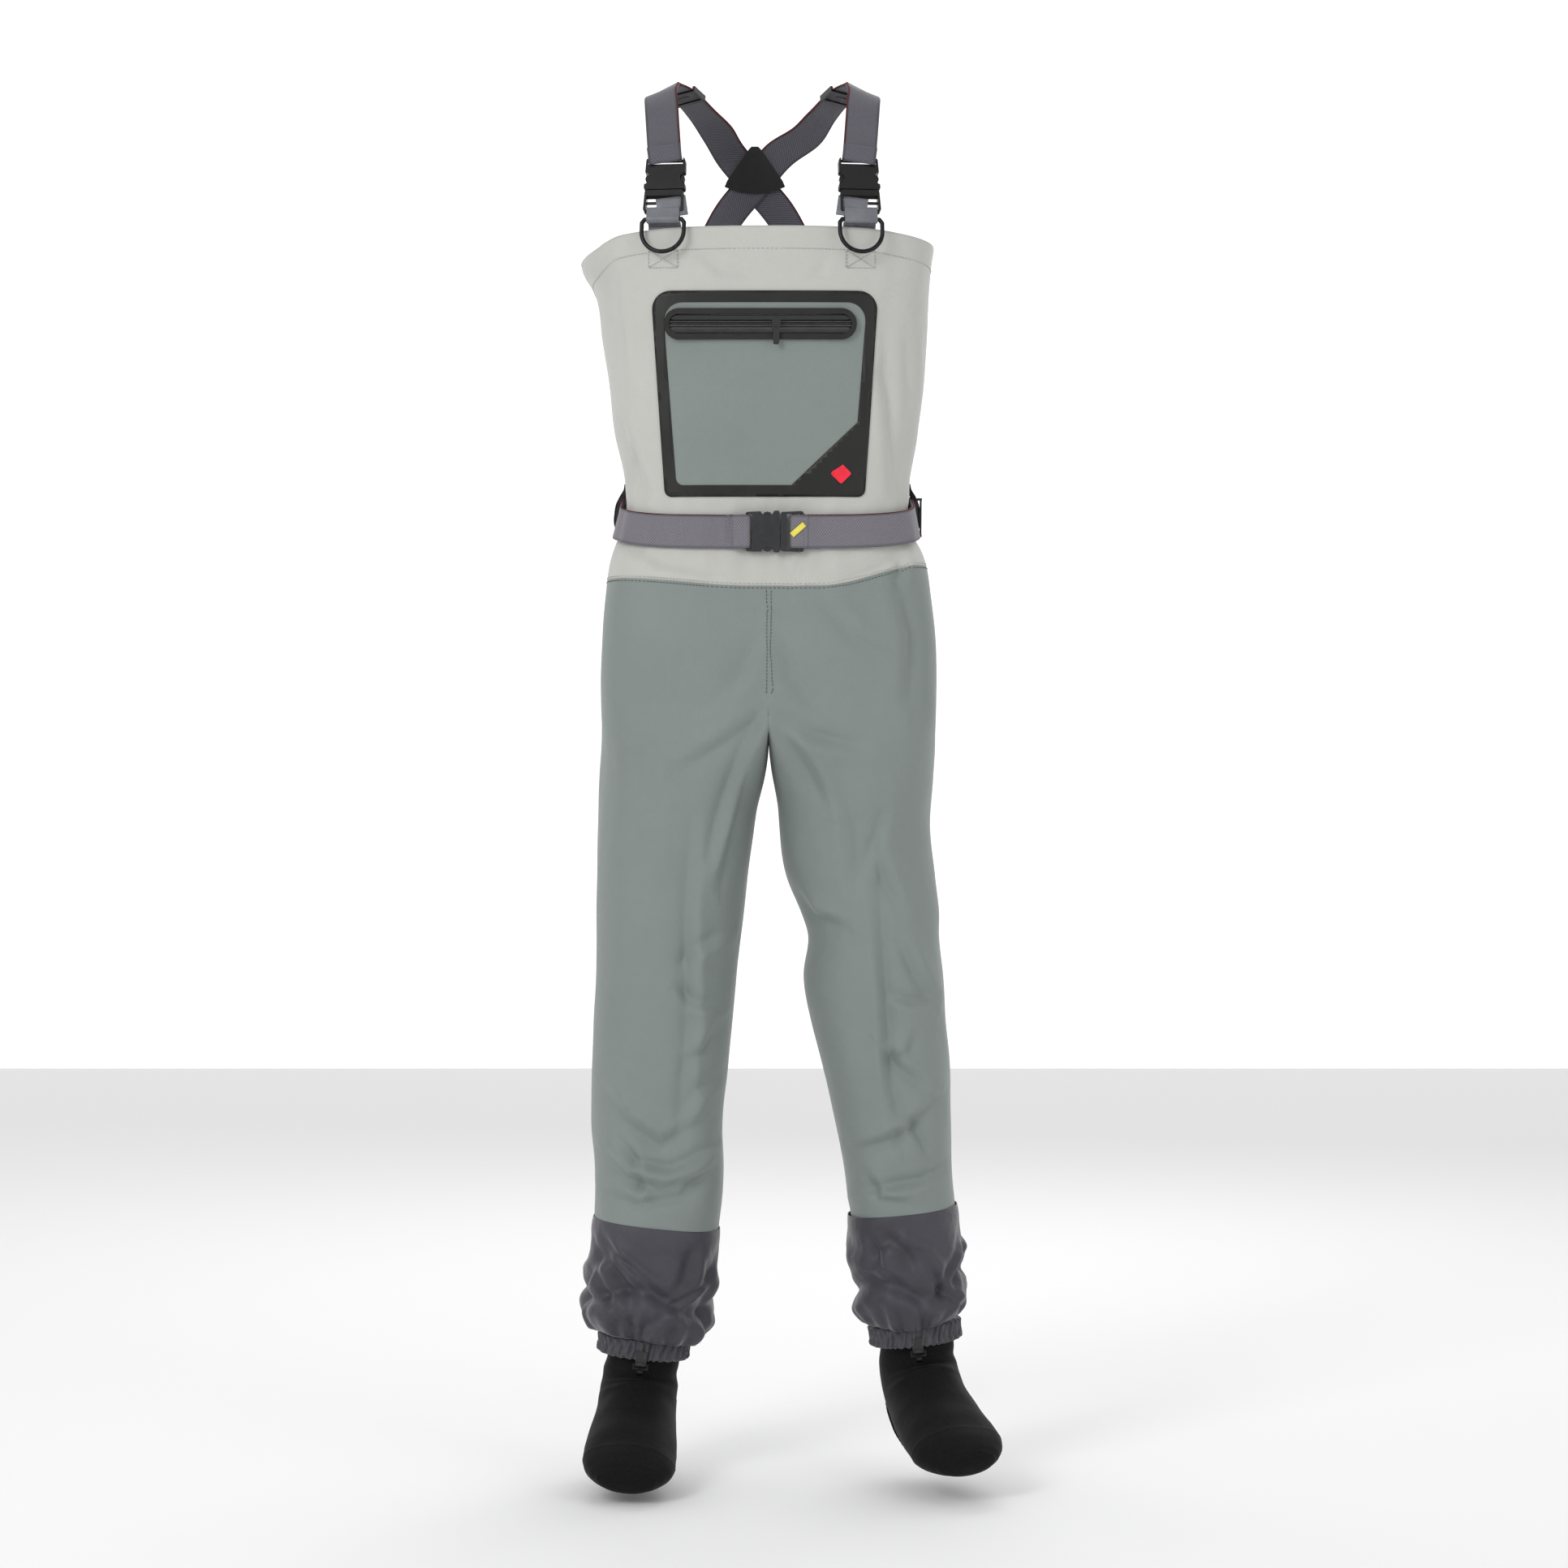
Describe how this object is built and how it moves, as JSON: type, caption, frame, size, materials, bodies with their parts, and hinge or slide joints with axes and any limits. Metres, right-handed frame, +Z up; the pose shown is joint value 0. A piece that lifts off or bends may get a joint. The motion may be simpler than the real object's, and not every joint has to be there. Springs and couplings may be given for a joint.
{
  "type": "chest waders",
  "caption": "Stocking-foot chest waders with elastic braces, stretch belt, zipped chest pocket, gravel guards and neoprene feet.",
  "frame": {"origin": "middle of the line across the wearer's shoulders, where the braces carry the waders", "axes": "+Z up, -Y the way the wearer faces, +X to the wearer's left hand (the viewer's right)"},
  "size_m": [0.4768, 0.3255, 1.6002],
  "materials": {
    "bib_cloth": "three-layer woven laminate, pale grey",
    "leg_cloth": "three-layer woven laminate, mid grey",
    "pocket_cloth": "woven laminate, grey",
    "black_facing": "woven, black",
    "seam_tape": "heat-sealed tape, grey",
    "black_tape": "bonded film on cloth, matte black",
    "black_nylon": "coated nylon coil, satin black",
    "black_zinc": "satin black",
    "black_acetal": "moulded acetal, matte black",
    "red_rubber": "moulded, red",
    "grey_webbing": "elastic webbing, dark grey",
    "steel_wire": "round wire, dark nickel",
    "guard_nylon": "coated plain weave, charcoal",
    "neoprene": "fabric-faced neoprene, black"
  },
  "bodies": {
    "bib": {"bib_front_panel": "bib_cloth", "bib_back_panel": "bib_cloth", "top_hem_facing": "black_facing", "left_seat_panel": "leg_cloth", "right_seat_panel": "leg_cloth", "seam_tapes": "seam_tape", "pocket_panel": "pocket_cloth", "pocket_border": "black_tape", "corner_badge": "red_rubber", "zip_surround": "black_tape", "zip_chain": "black_nylon", "anchor_webbing": "grey_webbing", "back_webbing": "grey_webbing", "back_plate_rivets": "black_zinc", "back_plate_inner": "black_acetal", "back_plate_outer": "black_acetal", "left_brace_plug": "black_acetal", "right_brace_plug": "black_acetal", "left_brace_front": "grey_webbing", "right_brace_front": "grey_webbing", "belt_long_half": "grey_webbing", "belt_loops": "black_tape", "belt_socket": "black_acetal", "belt_drawn_half": "grey_webbing"},
    "zip_slider_body": {"zip_slider": "black_zinc"},
    "zip_pull_body": {"zip_pull": "black_zinc"},
    "left_socket_body": {"left_brace_socket": "black_acetal"},
    "left_latch_outer_body": {"left_brace_latch_outer": "black_acetal"},
    "left_latch_inner_body": {"left_brace_latch_inner": "black_acetal"},
    "left_d_ring_body": {"left_d_ring": "steel_wire"},
    "left_brace_adjuster_body": {"left_brace_adjuster": "black_acetal"},
    "right_socket_body": {"right_brace_socket": "black_acetal"},
    "right_latch_outer_body": {"right_brace_latch_outer": "black_acetal"},
    "right_latch_inner_body": {"right_brace_latch_inner": "black_acetal"},
    "right_d_ring_body": {"right_d_ring": "steel_wire"},
    "right_brace_adjuster_body": {"right_brace_adjuster": "black_acetal"},
    "belt_plug_body": {"belt_plug": "black_acetal"},
    "belt_latch_upper_body": {"belt_latch_upper": "black_acetal"},
    "belt_latch_lower_body": {"belt_latch_lower": "black_acetal"},
    "belt_adjuster_body": {"belt_adjuster": "black_acetal"},
    "left_thigh_body": {"left_hip_cloth": "leg_cloth", "left_thigh": "leg_cloth"},
    "left_shin_body": {"left_knee_cloth": "leg_cloth", "left_shin": "leg_cloth", "left_gravel_guard": "guard_nylon", "left_bootie_neck": "neoprene", "left_bootie_foot": "neoprene", "left_bootie_sole": "neoprene"},
    "left_hem_body": {"left_guard_hem": "guard_nylon"},
    "left_hook_body": {"left_lace_hook": "steel_wire"},
    "right_thigh_body": {"right_hip_cloth": "leg_cloth", "right_thigh": "leg_cloth"},
    "right_shin_body": {"right_knee_cloth": "leg_cloth", "right_shin": "leg_cloth", "right_gravel_guard": "guard_nylon", "right_bootie_neck": "neoprene", "right_bootie_foot": "neoprene", "right_bootie_sole": "neoprene"},
    "right_hem_body": {"right_guard_hem": "guard_nylon"},
    "right_hook_body": {"right_lace_hook": "steel_wire"}
  },
  "joints": [
    {"name": "zip_travel", "type": "slide", "parent": "bib", "child": "zip_slider_body", "axis": [1, 0, 0], "range_m": [-0.103, 0.067]},
    {"name": "zip_pull_flip", "type": "hinge", "parent": "zip_slider_body", "child": "zip_pull_body", "pos_m": [0.011, -0.1373, -0.2939], "axis": [-1, 0, 0], "range_deg": [0, 160]},
    {"name": "left_brace_release", "type": "slide", "parent": "bib", "child": "left_socket_body", "axis": [0.043, 0.306, 0.9511], "range_m": [0, 0.03], "deforming": ["left_brace_front", "left_brace_latch_outer", "left_brace_latch_inner"]},
    {"name": "left_latch_outer_squeeze", "type": "hinge", "parent": "bib", "child": "left_latch_outer_body", "pos_m": [-0.12949, -0.11898, -0.14398], "axis": [-0.1324, -0.9418, 0.309], "range_deg": [-13, 0], "stiffness_Nm_per_rad": 0.6},
    {"name": "left_latch_inner_squeeze", "type": "hinge", "parent": "bib", "child": "left_latch_inner_body", "pos_m": [-0.09939, -0.12321, -0.14398], "axis": [-0.1324, -0.9418, 0.309], "range_deg": [0, 13], "stiffness_Nm_per_rad": 0.6},
    {"name": "left_d_ring_swing", "type": "hinge", "parent": "bib", "child": "left_d_ring_body", "pos_m": [-0.116, -0.1322, -0.1785], "axis": [-0.9903, 0.1392, 0], "range_deg": [0, 110]},
    {"name": "left_brace_adjust", "type": "slide", "parent": "bib", "child": "left_brace_adjuster_body", "axis": [0.5133, 0.787, -0.3422], "range_m": [0, 0.03]},
    {"name": "right_brace_release", "type": "slide", "parent": "bib", "child": "right_socket_body", "axis": [-0.043, 0.306, 0.9511], "range_m": [0, 0.03], "deforming": ["right_brace_front", "right_brace_latch_outer", "right_brace_latch_inner"]},
    {"name": "right_latch_outer_squeeze", "type": "hinge", "parent": "bib", "child": "right_latch_outer_body", "pos_m": [0.11949, -0.11898, -0.14398], "axis": [0.1324, -0.9418, 0.309], "range_deg": [0, 13], "stiffness_Nm_per_rad": 0.6},
    {"name": "right_latch_inner_squeeze", "type": "hinge", "parent": "bib", "child": "right_latch_inner_body", "pos_m": [0.08939, -0.12321, -0.14398], "axis": [0.1324, -0.9418, 0.309], "range_deg": [-13, 0], "stiffness_Nm_per_rad": 0.6},
    {"name": "right_d_ring_swing", "type": "hinge", "parent": "bib", "child": "right_d_ring_body", "pos_m": [0.106, -0.1322, -0.1785], "axis": [-0.9903, -0.1392, 0], "range_deg": [0, 110]},
    {"name": "right_brace_adjust", "type": "slide", "parent": "bib", "child": "right_brace_adjuster_body", "axis": [-0.5133, 0.787, -0.3422], "range_m": [0, 0.03]},
    {"name": "belt_release", "type": "slide", "parent": "bib", "child": "belt_plug_body", "axis": [1, 0, 0], "range_m": [0, 0.03], "deforming": ["belt_drawn_half", "belt_latch_upper", "belt_latch_lower"]},
    {"name": "belt_latch_upper_squeeze", "type": "hinge", "parent": "belt_plug_body", "child": "belt_latch_upper_body", "pos_m": [0.0142, -0.118, -0.5128], "axis": [0, -1, 0], "range_deg": [0, 13], "stiffness_Nm_per_rad": 0.6},
    {"name": "belt_latch_lower_squeeze", "type": "hinge", "parent": "belt_plug_body", "child": "belt_latch_lower_body", "pos_m": [0.0142, -0.118, -0.5432], "axis": [0, -1, 0], "range_deg": [-13, 0], "stiffness_Nm_per_rad": 0.6},
    {"name": "belt_adjust", "type": "slide", "parent": "bib", "child": "belt_adjuster_body", "axis": [0, -0.9732, -0.23], "range_m": [0, 0.034]},
    {"name": "left_hip_bend", "type": "hinge", "parent": "bib", "child": "left_thigh_body", "pos_m": [-0.098, 0, -0.745], "axis": [-1, 0, 0], "range_deg": [-12, 40], "deforming": ["left_hip_cloth"]},
    {"name": "left_knee_bend", "type": "hinge", "parent": "left_thigh_body", "child": "left_shin_body", "pos_m": [-0.112, 0, -1], "axis": [1, 0, 0], "range_deg": [0, 60], "deforming": ["left_knee_cloth"]},
    {"name": "left_hem_lift", "type": "slide", "parent": "left_shin_body", "child": "left_hem_body", "axis": [0.1045, 0, 0.9945], "range_m": [0, 0.055], "deforming": ["left_gravel_guard"]},
    {"name": "left_hook_swing", "type": "hinge", "parent": "left_hem_body", "child": "left_hook_body", "pos_m": [-0.1441, -0.0579, -1.47516], "axis": [-0.9945, 0, 0.1045], "range_deg": [0, 90]},
    {"name": "right_hip_bend", "type": "hinge", "parent": "bib", "child": "right_thigh_body", "pos_m": [0.103, 0, -0.745], "axis": [-1, 0, 0], "range_deg": [-12, 40], "deforming": ["right_hip_cloth"]},
    {"name": "right_knee_bend", "type": "hinge", "parent": "right_thigh_body", "child": "right_shin_body", "pos_m": [0.12, 0, -1], "axis": [1, 0, 0], "range_deg": [0, 60], "deforming": ["right_knee_cloth"]},
    {"name": "right_hem_lift", "type": "slide", "parent": "right_shin_body", "child": "right_hem_body", "axis": [-0.1045, 0, 0.9945], "range_m": [0, 0.055], "deforming": ["right_gravel_guard"]},
    {"name": "right_hook_swing", "type": "hinge", "parent": "right_hem_body", "child": "right_hook_body", "pos_m": [0.1731, -0.0579, -1.46016], "axis": [-0.9945, 0, -0.1045], "range_deg": [0, 90]}
  ],
  "couplings": [
    {"joint": "left_latch_inner_squeeze", "follows": "left_latch_outer_squeeze", "ratio": -1},
    {"joint": "right_latch_inner_squeeze", "follows": "right_latch_outer_squeeze", "ratio": -1},
    {"joint": "belt_latch_lower_squeeze", "follows": "belt_latch_upper_squeeze", "ratio": -1}
  ]
}
